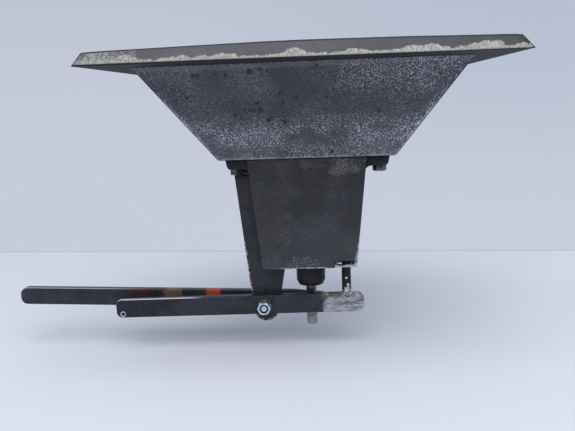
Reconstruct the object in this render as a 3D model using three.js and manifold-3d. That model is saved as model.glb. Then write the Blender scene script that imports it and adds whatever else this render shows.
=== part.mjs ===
// Garden spreader head: a square-sided hopper pan with a turned-up rim, bolted by two ears
// to a narrow feed box.  A plug valve closes the throat.  Its stem comes down through a guide
// boss and is worked by a long flat-bar lever; a short lever pushes an agitator rod.
// Millimetres.  X runs along the levers (handles to -X), Y to the rear, Z up.
// The origin is the middle of the rim's flat underside, the seat that carries the spreader.
import * as THREE from "three";
import { ConvexGeometry } from "three/addons/geometries/ConvexGeometry.js";
import { mergeVertices } from "three/addons/utils/BufferGeometryUtils.js";
import Module from "manifold-3d";

const wasm = await Module();
wasm.setup();

// Rim: flat flange with a lip turned up and leaning inward.
const RIM_HALF_X = 180.5;
const RIM_HALF_Y = 147.5;
const RIM_T = 3;
const LIP_H = 13;
const LIP_LEAN = 5;
const LIP_T = 3;

// Hopper pan, outside faces.
const TOP_HALF_X = 146.5;
const TOP_HALF_Y = 99.5;
const THROAT_HALF_X = 85.8;
const THROAT_HALF_Y = 32;
const HOPPER_H = 88;
const WALL_T = 3;

// Throat plate, seat and box flange.
const THROAT_T = 3.5;
const SEAT_OD = 56;
const SEAT_ID = 42;
const SEAT_H = 3;
const EAR_END_X = 82;
const EAR_HALF_Y = 13;
const EAR_Z = -99;
const EAR_BOLT_X = 72.3;
const EAR_BOLT_D = 8;
const EAR_FILLET_R = 7;

// Feed box.
const BOX_TOP_HALF_X = 58.3;
const BOX_BOTTOM_HALF_X = 46.7;
const BOX_HALF_Y = 30;
const BOX_T = 3;
const BOX_BOTTOM_Z = -198;
const BOX_FLOOR_T = 2.5;
const BOX_CORNER_R = 4;
const NOTCH_X = 25;
const NOTCH_H = 6.8;

// Outlet chute on the rear plate.
const CHUTE_HALF_X = 30;
const CHUTE_TOP_Z = -140;
const CHUTE_BOTTOM_Z = -186;
const CHUTE_REACH = 55;
const CHUTE_DROP = 26;
const CHUTE_T = 2.5;

// Stem guide, valve stem and plug.
const GUIDE_D = 30;
const GUIDE_TIP_D = 23.4;
const GUIDE_BOTTOM_Z = -220.7;
const STEM_D = 10.2;
const STEM_BOTTOM_Z = -263.5;
const STEM_TOP_Z = -60;
const STEM_BORE_D = 11;
const PLUG_D = 60.2;
const PLUG_TIP_D = 42.2;
const PLUG_H = 12;

// Pivot, levers and bracket.
const PIVOT_X = -47.5;
const PIVOT_Z = -238.5;
const PIVOT_D = 8;
const BAR_T = 9;
const SHORT_Y = -16;
const LONG_Y = 6;
const SHORT_BAR_H = 19.3;
const SHORT_LEFT_X = -203.8;
const SHORT_RIGHT_X = 54;
const SHORT_TILT = 0.6;
const LONG_BAR_H = 17.8;
const LONG_LEFT_X = -313;
const LONG_RIGHT_X = 14;
const LONG_TILT = -1.79;
const BRACKET_HALF_T = 3;
const BRACKET_END_Z = -246.5;
const BRACKET_END_R = 13;

// Push rod with its paddle.
const ROD_X = 36.3;
const ROD_Y = -12;
const ROD_D = 9.3;
const ROD_TOP_Z = -150;
const ROD_HOLE_X = 34.6;
const ROD_HOLE_Y = -15;
const ROD_HOLE_D = 18;

// Hexagon hardware, 12 mm across flats.
const HEX_AF = 12;
const NUT_H = 6.5;
const HEAD_H = 5.3;
const WASHER_D = 17;
const WASHER_T = 1.6;
const GAP = 0.3;

const DEG = Math.PI / 180;

const millScale = { color: 0x3a3d45, roughness: 0.55, metalness: 0.85 };
const darkSteel = { color: 0x2b2d33, roughness: 0.5, metalness: 0.85 };
const groundSteel = { color: 0xa9abae, roughness: 0.35, metalness: 1.0 };
const zincPlate = { color: 0xb9c4cc, roughness: 0.3, metalness: 1.0 };

// ---- helpers -----------------------------------------------------------------------------

function solid(geometry) {
  const source = geometry.index ? geometry.toNonIndexed() : geometry.clone();
  source.deleteAttribute("normal");
  source.deleteAttribute("uv");
  const position = source.attributes.position;
  for (let i = 0; i < position.array.length; i += 1) {
    position.array[i] = Math.round(position.array[i] * 1000) / 1000;
  }
  const merged = mergeVertices(source, 1e-4);
  return new wasm.Manifold(
    new wasm.Mesh({
      numProp: 3,
      vertProperties: new Float32Array(merged.attributes.position.array),
      triVerts: new Uint32Array(merged.index.array),
    }),
  );
}

function geometryOf(manifold) {
  const mesh = manifold.getMesh();
  const geometry = new THREE.BufferGeometry();
  geometry.setAttribute("position", new THREE.BufferAttribute(mesh.vertProperties, 3));
  geometry.setIndex(new THREE.BufferAttribute(mesh.triVerts, 1));
  const flat = geometry.toNonIndexed();
  flat.computeVertexNormals();
  return flat;
}

function cut(geometry, ...tools) {
  const body = tools.reduce((left, tool) => left.subtract(solid(tool)), solid(geometry));
  return geometryOf(body);
}

function join(geometry, ...others) {
  const body = others.reduce((left, other) => left.add(solid(other)), solid(geometry));
  return geometryOf(body);
}

function node(name, geometry, finish) {
  const mesh = new THREE.Mesh(geometry, new THREE.MeshStandardMaterial(finish));
  mesh.name = name;
  return mesh;
}

function group(name, ...children) {
  const g = new THREE.Group();
  g.name = name;
  g.add(...children);
  return g;
}

// A closed outline in X and Z, made into a plate between two Y values.
function plateXZ(shape, yFront, yBack) {
  const g = new THREE.ExtrudeGeometry(shape, {
    depth: yBack - yFront,
    bevelEnabled: false,
    curveSegments: 10,
  });
  g.rotateX(Math.PI / 2);
  g.translate(0, yBack, 0);
  return g;
}

// A closed outline in X and Y, made into a plate between two Z values.
function plateXY(shape, zLow, zHigh) {
  const g = new THREE.ExtrudeGeometry(shape, {
    depth: zHigh - zLow,
    bevelEnabled: false,
    curveSegments: 10,
  });
  g.translate(0, 0, zLow);
  return g;
}

function outline(points) {
  return new THREE.Shape(points.map(([u, v]) => new THREE.Vector2(u, v)));
}

function box(x0, x1, y0, y1, z0, z1) {
  const g = new THREE.BoxGeometry(x1 - x0, y1 - y0, z1 - z0);
  g.translate((x0 + x1) / 2, (y0 + y1) / 2, (z0 + z1) / 2);
  return g;
}

function hull(points) {
  return new ConvexGeometry(points.map(([x, y, z]) => new THREE.Vector3(x, y, z)));
}

// A round bar or disc standing on Z.
function roundZ(d, zLow, zHigh, x = 0, y = 0, segments = 40, dTop = d) {
  const g = new THREE.CylinderGeometry(dTop / 2, d / 2, zHigh - zLow, segments);
  g.rotateX(Math.PI / 2);
  g.translate(x, y, (zLow + zHigh) / 2);
  return g;
}

// A round bar or disc lying on Y.
function roundY(d, yFront, yBack, x, z, segments = 32) {
  const g = new THREE.CylinderGeometry(d / 2, d / 2, yBack - yFront, segments);
  g.translate(x, (yFront + yBack) / 2, z);
  return g;
}

function hexShape(turn) {
  const corner = HEX_AF / Math.sqrt(3);
  const points = [];
  for (let i = 0; i < 6; i += 1) {
    const a = turn + (i * Math.PI) / 3;
    points.push([corner * Math.cos(a), corner * Math.sin(a)]);
  }
  return outline(points);
}

function hexZ(zLow, zHigh, x, turn = 0) {
  const g = plateXY(hexShape(turn), zLow, zHigh);
  g.translate(x, 0, 0);
  return g;
}

function hexY(yFront, yBack, turn = 0) {
  const g = plateXZ(hexShape(turn), yFront, yBack);
  g.translate(PIVOT_X, 0, PIVOT_Z);
  return g;
}

// Turns a geometry about the pivot, right end up for a positive angle.
function aboutPivot(geometry, degrees) {
  geometry.translate(-PIVOT_X, 0, -PIVOT_Z);
  geometry.rotateY(-degrees * DEG);
  geometry.translate(PIVOT_X, 0, PIVOT_Z);
  return geometry;
}

// ---- rim ---------------------------------------------------------------------------------

const OPEN_X = TOP_HALF_X;
const OPEN_Y = TOP_HALF_Y;
const MITRE_Y = RIM_HALF_Y - (RIM_HALF_X - OPEN_X);

// The lip along one long or short side, mitred at both ends; sx or sy is the side's sign.
function lip(along, sign) {
  const profile = [
    [0, 0],
    [LIP_LEAN, LIP_H],
    [LIP_LEAN + LIP_T, LIP_H],
    [LIP_T, 0],
  ];
  const points = [];
  for (const [inset, z] of profile) {
    const x = RIM_HALF_X - inset;
    const y = RIM_HALF_Y - inset;
    if (along === "x") {
      points.push([-x, sign * y, z], [x, sign * y, z]);
    } else {
      points.push([sign * x, -y, z], [sign * x, y, z]);
    }
  }
  return hull(points);
}

function rimLong(sign) {
  const flange = plateXY(
    outline([
      [-RIM_HALF_X, -RIM_HALF_Y],
      [RIM_HALF_X, -RIM_HALF_Y],
      [OPEN_X, -MITRE_Y],
      [OPEN_X, -OPEN_Y],
      [-OPEN_X, -OPEN_Y],
      [-OPEN_X, -MITRE_Y],
    ]),
    0,
    RIM_T,
  );
  if (sign > 0) {
    flange.rotateZ(Math.PI);
  }
  return join(flange, lip("x", sign));
}

function rimShort(sign) {
  const flange = plateXY(
    outline([
      [-RIM_HALF_X, -RIM_HALF_Y],
      [-OPEN_X, -MITRE_Y],
      [-OPEN_X, MITRE_Y],
      [-RIM_HALF_X, RIM_HALF_Y],
    ]),
    0,
    RIM_T,
  );
  if (sign > 0) {
    flange.rotateZ(Math.PI);
  }
  return join(flange, lip("y", sign));
}

// The flange's outer edge follows the lip's lean, so nothing stands outside the rim.
function rimTrim(geometry) {
  const slope = LIP_LEAN / LIP_H;
  const tools = [];
  for (const sign of [-1, 1]) {
    tools.push(
      hull([
        [sign * RIM_HALF_X, -200, 0],
        [sign * (RIM_HALF_X - slope * LIP_H), -200, LIP_H],
        [sign * (RIM_HALF_X + 20), -200, 0],
        [sign * (RIM_HALF_X + 20), -200, LIP_H],
        [sign * RIM_HALF_X, 200, 0],
        [sign * (RIM_HALF_X - slope * LIP_H), 200, LIP_H],
        [sign * (RIM_HALF_X + 20), 200, 0],
        [sign * (RIM_HALF_X + 20), 200, LIP_H],
      ]),
      hull([
        [-220, sign * RIM_HALF_Y, 0],
        [-220, sign * (RIM_HALF_Y - slope * LIP_H), LIP_H],
        [-220, sign * (RIM_HALF_Y + 20), 0],
        [-220, sign * (RIM_HALF_Y + 20), LIP_H],
        [220, sign * RIM_HALF_Y, 0],
        [220, sign * (RIM_HALF_Y - slope * LIP_H), LIP_H],
        [220, sign * (RIM_HALF_Y + 20), 0],
        [220, sign * (RIM_HALF_Y + 20), LIP_H],
      ]),
    );
  }
  return cut(geometry, ...tools);
}

const rim = group(
  "rim",
  node("rim_front", rimTrim(rimLong(-1)), millScale),
  node("rim_rear", rimTrim(rimLong(1)), millScale),
  node("rim_left", rimTrim(rimShort(-1)), millScale),
  node("rim_right", rimTrim(rimShort(1)), millScale),
);

// ---- hopper pan --------------------------------------------------------------------------

// One side of a tapered box shell between two levels, mitred at its corners.
function shellSide(along, sign, levels) {
  const points = [];
  for (const inset of [0, WALL_T]) {
    for (const [halfX, halfY, z] of levels) {
      const x = halfX - inset;
      const y = halfY - inset;
      if (along === "x") {
        points.push([-x, sign * y, z], [x, sign * y, z]);
      } else {
        points.push([sign * x, -y, z], [sign * x, y, z]);
      }
    }
  }
  return hull(points);
}

// A sloping wall with a short upright edge that fills the opening of the rim.
function panWall(along, sign) {
  const slope = shellSide(along, sign, [
    [TOP_HALF_X, TOP_HALF_Y, 0],
    [THROAT_HALF_X, THROAT_HALF_Y, -HOPPER_H],
  ]);
  const edge = shellSide(along, sign, [
    [TOP_HALF_X, TOP_HALF_Y, 0],
    [TOP_HALF_X, TOP_HALF_Y, RIM_T],
  ]);
  return join(slope, edge);
}

const pan = group(
  "hopper_pan",
  node("hopper_front", panWall("x", -1), millScale),
  node("hopper_rear", panWall("x", 1), millScale),
  node("hopper_left", panWall("y", -1), millScale),
  node("hopper_right", panWall("y", 1), millScale),
);

// ---- throat plate, seat, flange with ears ------------------------------------------------

const THROAT_TOP = -HOPPER_H + THROAT_T;
const throatX = THROAT_HALF_X - WALL_T - GAP;
const throatY = THROAT_HALF_Y - WALL_T - GAP;
const earHoles = [-1, 1].map((s) => roundZ(EAR_BOLT_D + 1, -110, -70, s * EAR_BOLT_X));

const throatPlate = cut(
  box(-throatX, throatX, -throatY, throatY, -HOPPER_H, THROAT_TOP),
  roundZ(SEAT_ID, -100, -60, 0, 0, 56),
  ...earHoles,
);

const seatRing = cut(
  roundZ(SEAT_OD, THROAT_TOP, THROAT_TOP + SEAT_H, 0, 0, 56),
  roundZ(SEAT_ID, THROAT_TOP - 1, THROAT_TOP + SEAT_H + 1, 0, 0, 56),
  roundZ(SEAT_ID - 1, THROAT_TOP - 0.5, THROAT_TOP + SEAT_H + 0.5, 0, 0, 56, SEAT_ID + 7),
);

function boxHalfAt(z) {
  const share = (-HOPPER_H - z) / (-HOPPER_H - BOX_BOTTOM_Z);
  return BOX_TOP_HALF_X + (BOX_BOTTOM_HALF_X - BOX_TOP_HALF_X) * share;
}

// Ears with rounded lower ends and a hollow fillet down onto the box side.
function earShape() {
  const filletZ = EAR_Z - EAR_FILLET_R;
  const s = new THREE.Shape();
  s.moveTo(0, -HOPPER_H);
  s.lineTo(EAR_END_X, -HOPPER_H);
  s.lineTo(EAR_END_X - 1.5, EAR_Z + 4);
  s.quadraticCurveTo(EAR_END_X - 2.5, EAR_Z, EAR_END_X - 5.5, EAR_Z);
  const filletX = boxHalfAt(filletZ) + EAR_FILLET_R + 0.1;
  s.absarc(filletX, filletZ, EAR_FILLET_R, 0.5 * Math.PI, 0.94 * Math.PI, false);
  s.lineTo(boxHalfAt(EAR_Z), EAR_Z);
  s.lineTo(0, EAR_Z);
  return s;
}

function boxFlange() {
  const right = plateXZ(earShape(), -EAR_HALF_Y, EAR_HALF_Y);
  const left = plateXZ(earShape(), -EAR_HALF_Y, EAR_HALF_Y);
  left.rotateZ(Math.PI);
  const innerY = BOX_HALF_Y - BOX_T;
  const middle = box(-54, 54, -innerY, innerY, EAR_Z, -HOPPER_H);
  return cut(
    join(right, left, middle),
    box(-46, 46, -innerY + 4, innerY - 4, -110, -80),
    ...earHoles,
  );
}

// ---- feed box ----------------------------------------------------------------------------

function boxFace() {
  const r = BOX_CORNER_R;
  const lean = (BOX_TOP_HALF_X - BOX_BOTTOM_HALF_X) / (-HOPPER_H - BOX_BOTTOM_Z);
  const s = new THREE.Shape();
  s.moveTo(-BOX_TOP_HALF_X, -HOPPER_H);
  s.lineTo(-BOX_BOTTOM_HALF_X - lean * r, BOX_BOTTOM_Z + r);
  s.quadraticCurveTo(-BOX_BOTTOM_HALF_X, BOX_BOTTOM_Z, -BOX_BOTTOM_HALF_X + r, BOX_BOTTOM_Z);
  s.lineTo(BOX_BOTTOM_HALF_X - 1, BOX_BOTTOM_Z);
  s.lineTo(BOX_BOTTOM_HALF_X, BOX_BOTTOM_Z + 1);
  s.lineTo(BOX_TOP_HALF_X, -HOPPER_H);
  return s;
}

const boxFront = cut(
  plateXZ(boxFace(), -BOX_HALF_Y, -BOX_HALF_Y + BOX_T),
  box(NOTCH_X, 70, -40, 0, BOX_BOTTOM_Z - 5, BOX_BOTTOM_Z + NOTCH_H),
);

const boxRear = cut(
  plateXZ(boxFace(), BOX_HALF_Y - BOX_T, BOX_HALF_Y),
  box(
    -CHUTE_HALF_X + CHUTE_T,
    CHUTE_HALF_X - CHUTE_T,
    0,
    60,
    CHUTE_BOTTOM_Z + CHUTE_T,
    CHUTE_TOP_Z,
  ),
);

function boxSide(sign) {
  const y = BOX_HALF_Y - BOX_T;
  const points = [];
  for (const z of [EAR_Z, BOX_BOTTOM_Z]) {
    for (const inset of [0, BOX_T]) {
      const x = sign * (boxHalfAt(z) - inset);
      points.push([x, -y, z], [x, y, z]);
    }
  }
  return hull(points);
}

const floorHalf = boxHalfAt(BOX_BOTTOM_Z) - BOX_T;
const boxFloor = cut(
  box(
    -floorHalf,
    floorHalf,
    -BOX_HALF_Y + BOX_T,
    BOX_HALF_Y - BOX_T,
    BOX_BOTTOM_Z,
    BOX_BOTTOM_Z + BOX_FLOOR_T,
  ),
  roundZ(STEM_BORE_D, -210, -180),
  roundZ(ROD_HOLE_D, -210, -180, ROD_HOLE_X, ROD_HOLE_Y),
);

// Floor and two cheeks of the chute, folded from one sheet and open at the top.
function chute() {
  const y0 = BOX_HALF_Y;
  const y1 = BOX_HALF_Y + CHUTE_REACH;
  const z0 = CHUTE_BOTTOM_Z;
  const z1 = CHUTE_BOTTOM_Z - CHUTE_DROP;
  const x = CHUTE_HALF_X;
  const section = (x0, x1, low, high, farHigh) =>
    hull([
      [x0, y0, z0 + low],
      [x1, y0, z0 + low],
      [x0, y0, z0 + high],
      [x1, y0, z0 + high],
      [x0, y1, z1 + low],
      [x1, y1, z1 + low],
      [x0, y1, z1 + farHigh],
      [x1, y1, z1 + farHigh],
    ]);
  return join(
    section(-x, x, 0, CHUTE_T, CHUTE_T),
    section(-x, -x + CHUTE_T, 0, CHUTE_TOP_Z - CHUTE_BOTTOM_Z, 22),
    section(x - CHUTE_T, x, 0, CHUTE_TOP_Z - CHUTE_BOTTOM_Z, 22),
  );
}

// ---- bracket, guide ----------------------------------------------------------------------

// A plate welded to the box side and floor that reaches down to carry the pivot.
function bracket() {
  const r = BRACKET_END_R;
  const topZ = -106;
  const s = new THREE.Shape();
  s.moveTo(-74.5, topZ);
  s.lineTo(PIVOT_X - r, BRACKET_END_Z);
  s.absarc(PIVOT_X, BRACKET_END_Z, r, Math.PI, 2 * Math.PI, false);
  s.lineTo(-25.6, BOX_BOTTOM_Z);
  s.lineTo(-boxHalfAt(BOX_BOTTOM_Z), BOX_BOTTOM_Z);
  s.lineTo(-boxHalfAt(topZ - 2), topZ - 2);
  s.lineTo(-boxHalfAt(topZ) - EAR_FILLET_R, topZ);
  return cut(
    plateXZ(s, -BRACKET_HALF_T, BRACKET_HALF_T),
    roundY(PIVOT_D + 0.6, -20, 20, PIVOT_X, PIVOT_Z),
  );
}

const guide = cut(
  join(
    roundZ(GUIDE_D - 1.4, GUIDE_BOTTOM_Z + 6, BOX_BOTTOM_Z, 0, 0, 48, GUIDE_D),
    roundZ(GUIDE_TIP_D, GUIDE_BOTTOM_Z, GUIDE_BOTTOM_Z + 6, 0, 0, 48, GUIDE_D - 1.4),
  ),
  roundZ(STEM_BORE_D, -230, -190),
);

const feedBox = group(
  "feed_box",
  node("throat_plate", throatPlate, darkSteel),
  node("seat_ring", seatRing, groundSteel),
  node("box_flange", boxFlange(), darkSteel),
  node("box_front", boxFront, darkSteel),
  node("box_rear", boxRear, darkSteel),
  node("box_left", boxSide(-1), darkSteel),
  node("box_right", boxSide(1), darkSteel),
  node("box_floor", boxFloor, groundSteel),
  node("outlet_chute", chute(), darkSteel),
  node("pivot_bracket", bracket(), darkSteel),
  node("stem_guide", guide, darkSteel),
);

// ---- ear bolts ---------------------------------------------------------------------------

function earBolt(sign, turn) {
  const x = sign * EAR_BOLT_X;
  return join(
    hexZ(EAR_Z - HEAD_H, EAR_Z, x, turn),
    roundZ(EAR_BOLT_D, EAR_Z - 1, THROAT_TOP + NUT_H + 2.5, x, 0, 28),
  );
}

function earNut(sign, turn) {
  const x = sign * EAR_BOLT_X;
  return cut(
    hexZ(THROAT_TOP, THROAT_TOP + NUT_H, x, turn),
    roundZ(EAR_BOLT_D + 0.2, -100, -60, x, 0, 28),
  );
}

const earHardware = group(
  "ear_hardware",
  node("ear_bolt_left", earBolt(-1, Math.PI / 6), zincPlate),
  node("ear_bolt_right", earBolt(1, 0), zincPlate),
  node("ear_nut_left", earNut(-1, 0.3), zincPlate),
  node("ear_nut_right", earNut(1, 0.1), zincPlate),
);

// ---- valve -------------------------------------------------------------------------------

const PIN_Z = PIVOT_Z - (0 - PIVOT_X) * Math.tan(-LONG_TILT * DEG) - 0.4;
const PLUG_Z = THROAT_TOP + 0.5;
const PIN_D = 5;

const stemTip = roundZ(STEM_D - 2.5, STEM_BOTTOM_Z, STEM_BOTTOM_Z + 1.5, 0, 0, 36, STEM_D);
const stem = cut(
  join(stemTip, roundZ(STEM_D, STEM_BOTTOM_Z + 1.4, STEM_TOP_Z, 0, 0, 36)),
  roundY(PIN_D + 0.04, -20, 20, 0, PIN_Z, 28),
);

const plug = cut(
  join(
    roundZ(PLUG_TIP_D, PLUG_Z, PLUG_Z + PLUG_H - 3, 0, 0, 56, PLUG_D),
    roundZ(PLUG_D, PLUG_Z + PLUG_H - 3.1, PLUG_Z + PLUG_H, 0, 0, 56),
  ),
  roundZ(STEM_D, -100, -50, 0, 0, 36),
);

const plugNut = cut(
  hexZ(PLUG_Z + PLUG_H, PLUG_Z + PLUG_H + NUT_H, 0, 0.2),
  roundZ(STEM_D, -100, -50, 0, 0, 36),
);

const pin = roundY(PIN_D, -STEM_D / 2, LONG_Y + BAR_T + 4, 0, PIN_Z, 28);
const pinWasher = cut(
  roundY(12, LONG_Y + BAR_T + GAP, LONG_Y + BAR_T + GAP + 1.5, 0, PIN_Z, 28),
  roundY(PIN_D + 0.04, 0, 30, 0, PIN_Z, 28),
);

const valve = group(
  "valve",
  node("valve_stem", stem, groundSteel),
  node("valve_plug", plug, groundSteel),
  node("plug_nut", plugNut, zincPlate),
  node("stem_pin", pin, zincPlate),
  node("stem_pin_washer", pinWasher, zincPlate),
);

// ---- levers ------------------------------------------------------------------------------

// A flat bar with rounded corners, its centre line through the pivot.
function barShape(x0, x1, height, rLeft, rRight, taper) {
  const h = height / 2;
  const s = new THREE.Shape();
  s.moveTo(x0 + rLeft, -h);
  s.lineTo(x1 - rRight, -h);
  s.quadraticCurveTo(x1, -h, x1, -h + rRight);
  s.lineTo(x1, h - taper - rRight);
  s.quadraticCurveTo(x1, h - taper, x1 - rRight, h - taper);
  s.lineTo(-20, h);
  s.lineTo(x0 + rLeft, h);
  s.quadraticCurveTo(x0, h, x0, h - rLeft);
  s.lineTo(x0, -h + rLeft);
  s.quadraticCurveTo(x0, -h, x0 + rLeft, -h);
  return s;
}

function bar(x0, x1, height, rLeft, rRight, taper, yFront) {
  const g = plateXZ(barShape(x0, x1, height, rLeft, rRight, taper), yFront, yFront + BAR_T);
  g.translate(0, 0, PIVOT_Z);
  return g;
}

const shortLever = cut(
  aboutPivot(bar(SHORT_LEFT_X, SHORT_RIGHT_X, SHORT_BAR_H, 6, 6, 0, SHORT_Y), SHORT_TILT),
  roundY(PIVOT_D + 0.6, -40, 40, PIVOT_X, PIVOT_Z),
  roundY(3.4, -40, 40, -196.2, -245.8, 20),
);

const slotWidth = 10;
const longLever = cut(
  aboutPivot(bar(LONG_LEFT_X, LONG_RIGHT_X, LONG_BAR_H, 7, 3, 2.4, LONG_Y), LONG_TILT),
  roundY(PIVOT_D + 0.6, -40, 40, PIVOT_X, PIVOT_Z),
  roundY(PIN_D + 1.2, 0, 40, -slotWidth / 4, PIN_Z, 28),
  roundY(PIN_D + 1.2, 0, 40, slotWidth / 4, PIN_Z, 28),
  box(-slotWidth / 4, slotWidth / 4, 0, 40, PIN_Z - PIN_D / 2 - 0.6, PIN_Z + PIN_D / 2 + 0.6),
);

const rodFoot = PIVOT_Z + SHORT_BAR_H / 2 + (ROD_X - PIVOT_X) * Math.tan(SHORT_TILT * DEG);
const rod = join(
  roundZ(ROD_D, rodFoot + 0.1, ROD_TOP_Z, ROD_X, ROD_Y, 32),
  roundZ(ROD_D, ROD_TOP_Z - 0.1, ROD_TOP_Z + 2, ROD_X, ROD_Y, 32, ROD_D - 3),
);
const paddleY = ROD_Y + ROD_D / 2;
const paddle = cut(
  box(ROD_X - 22, ROD_X + 4, paddleY - 1, paddleY + 2, ROD_TOP_Z - 22, ROD_TOP_Z - 8),
  roundZ(ROD_D, -230, -100, ROD_X, ROD_Y, 32),
);

const levers = group(
  "levers",
  node("long_lever", longLever, darkSteel),
  node("short_lever", shortLever, darkSteel),
  node("push_rod", rod, darkSteel),
  node("agitator_paddle", paddle, darkSteel),
);

// ---- pivot -------------------------------------------------------------------------------

const frontFace = SHORT_Y - GAP;
const rearFace = LONG_Y + BAR_T + GAP;
const nutFront = frontFace - WASHER_T - NUT_H;
const lockFront = nutFront - NUT_H;

function ringY(d, yFront, yBack) {
  return cut(
    roundY(d, yFront, yBack, PIVOT_X, PIVOT_Z, 36),
    roundY(PIVOT_D + 0.2, -60, 60, PIVOT_X, PIVOT_Z, 32),
  );
}

function pivotNut(yFront, turn) {
  return cut(
    hexY(yFront, yFront + NUT_H, turn),
    roundY(PIVOT_D + 0.2, -60, 60, PIVOT_X, PIVOT_Z, 32),
  );
}

const pivotBolt = join(
  roundY(PIVOT_D, lockFront - 2, rearFace + WASHER_T + 1, PIVOT_X, PIVOT_Z, 32),
  hexY(rearFace + WASHER_T, rearFace + WASHER_T + HEAD_H, 0.2),
);

const pivot = group(
  "pivot",
  node("pivot_bolt", pivotBolt, zincPlate),
  node("pivot_nut", pivotNut(nutFront, 0.35), zincPlate),
  node("lock_nut", pivotNut(lockFront, 0.1), zincPlate),
  node("front_washer", ringY(WASHER_D, frontFace - WASHER_T, frontFace), zincPlate),
  node("rear_washer", ringY(WASHER_D, rearFace, rearFace + WASHER_T), zincPlate),
  node("front_spacer", ringY(13, SHORT_Y + BAR_T + GAP, -BRACKET_HALF_T), zincPlate),
  node("rear_spacer", ringY(13, BRACKET_HALF_T, LONG_Y - GAP), zincPlate),
);

export default group(
  "garden_spreader",
  rim,
  pan,
  feedBox,
  earHardware,
  valve,
  levers,
  pivot,
);
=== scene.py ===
# %% [markdown]
# # A steel spreader head, piece by piece
# The object is a welded steel hopper pan on a narrow feed box.  Under the box hang a guide boss
# with a valve stem, a bracket with a pivot bolt, and two flat-bar levers.  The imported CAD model
# gives every size and every joint.  This lesson loads that model as a frame, and then models each
# visible piece again with soft edges, weld beads and worn steel, in the same place.

# %% Load the frame
from math import cos, degrees, pi, radians

import bmesh
import bpy
from mathutils import Matrix, Vector


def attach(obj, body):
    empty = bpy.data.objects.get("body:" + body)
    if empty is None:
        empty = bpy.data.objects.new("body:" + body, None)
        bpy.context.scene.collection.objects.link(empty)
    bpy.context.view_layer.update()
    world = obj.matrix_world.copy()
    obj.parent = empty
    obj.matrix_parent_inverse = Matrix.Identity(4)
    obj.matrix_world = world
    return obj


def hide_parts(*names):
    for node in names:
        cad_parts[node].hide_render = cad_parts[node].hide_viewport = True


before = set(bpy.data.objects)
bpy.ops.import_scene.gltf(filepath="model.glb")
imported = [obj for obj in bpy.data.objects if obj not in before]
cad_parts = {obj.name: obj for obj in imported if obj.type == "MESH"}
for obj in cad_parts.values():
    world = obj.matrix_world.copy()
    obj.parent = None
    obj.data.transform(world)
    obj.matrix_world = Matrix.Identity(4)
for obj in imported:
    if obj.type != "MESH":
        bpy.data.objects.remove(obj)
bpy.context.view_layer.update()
scene = bpy.context.scene
scene.view_settings.view_transform = "Standard"
MM = 0.001
PIVOT = Vector((-47.5, 0, -238.5))  # the axis that both levers turn on, in millimetres

# %% [markdown]
# ## Camera
# A camera could be aimed with a Track To constraint, but a plain turn is easier to read.  It stands
# a little to the right of the middle, just under the rim, and looks slightly down and to the left.
# It is rolled by two degrees, because the real head was not held quite level.

# %% Camera
CAMERA_PLACE = Vector((0.0212, -0.6972, -0.0327))
CAMERA_YAW, CAMERA_PITCH, CAMERA_ROLL = radians(3.56), radians(9.44), radians(-2.1)
bpy.ops.object.camera_add()
camera = bpy.context.object
camera.data.lens = 43.2
camera.data.clip_start = 0.01
turn = (
    Matrix.Rotation(CAMERA_YAW, 4, "Z")
    @ Matrix.Rotation(pi / 2 - CAMERA_PITCH, 4, "X")
    @ Matrix.Rotation(CAMERA_ROLL, 4, "Z")
)
camera.matrix_world = Matrix.Translation(CAMERA_PLACE) @ turn
scene.camera = camera
print("camera looks down by", round(degrees(CAMERA_PITCH), 1), "degrees")

# %% [markdown]
# ## Bench tools
# Every piece is made by the same few moves: put down a primitive, go into edit mode, choose faces
# or edges by where they are, and finish with modifiers that are applied.  Short helpers keep the
# steps below readable.  Each that adds or changes a piece starts by deselecting everything, since
# an operator acts on all that is selected.


# %% Selecting
def everything_off():
    if bpy.context.mode != "OBJECT":
        bpy.ops.object.mode_set(mode="OBJECT")
    bpy.ops.object.select_all(action="DESELECT")


def only(piece):
    everything_off()
    piece.select_set(True)
    bpy.context.view_layer.objects.active = piece


def edit(piece):
    only(piece)
    bpy.ops.object.mode_set(mode="EDIT")
    bpy.ops.mesh.select_all(action="DESELECT")


def pick(kind, test):
    """Selects the vertices, edges or faces for which test(middle, direction) is true.

    The direction is a face's normal or an edge's own direction."""
    bpy.ops.mesh.select_mode(type=kind)
    bpy.ops.mesh.select_all(action="DESELECT")
    mesh = bmesh.from_edit_mesh(bpy.context.object.data)
    if kind == "VERT":
        for vertex in mesh.verts:
            vertex.select = test(vertex.co / MM, vertex.normal)
    elif kind == "EDGE":
        for edge in mesh.edges:
            a, b = (v.co / MM for v in edge.verts)
            edge.select = test((a + b) / 2, (b - a).normalized())
    else:
        for face in mesh.faces:
            face.select = test(face.calc_center_median() / MM, face.normal)
    mesh.select_flush_mode()
    bmesh.update_edit_mesh(bpy.context.object.data)


# %% Starting a piece
def block(name, low, high):
    """A cube primitive stretched between two corners, in millimetres."""
    everything_off()
    low, high = Vector(low) * MM, Vector(high) * MM
    bpy.ops.mesh.primitive_cube_add(size=1, location=(low + high) / 2, scale=high - low)
    bpy.ops.object.transform_apply(location=True, rotation=True, scale=True)
    piece = bpy.context.object
    piece.name = name
    return piece


def bar_between(name, start, end, radius, sides=48):
    """A cylinder primitive from one point to another, in millimetres."""
    everything_off()
    start, end = Vector(start) * MM, Vector(end) * MM
    along = end - start
    bpy.ops.mesh.primitive_cylinder_add(
        vertices=sides,
        radius=radius * MM,
        depth=along.length,
        location=(start + end) / 2,
        rotation=along.to_track_quat("Z", "Y").to_euler(),
    )
    bpy.ops.object.transform_apply(location=True, rotation=True, scale=True)
    piece = bpy.context.object
    piece.name = name
    return piece


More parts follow.
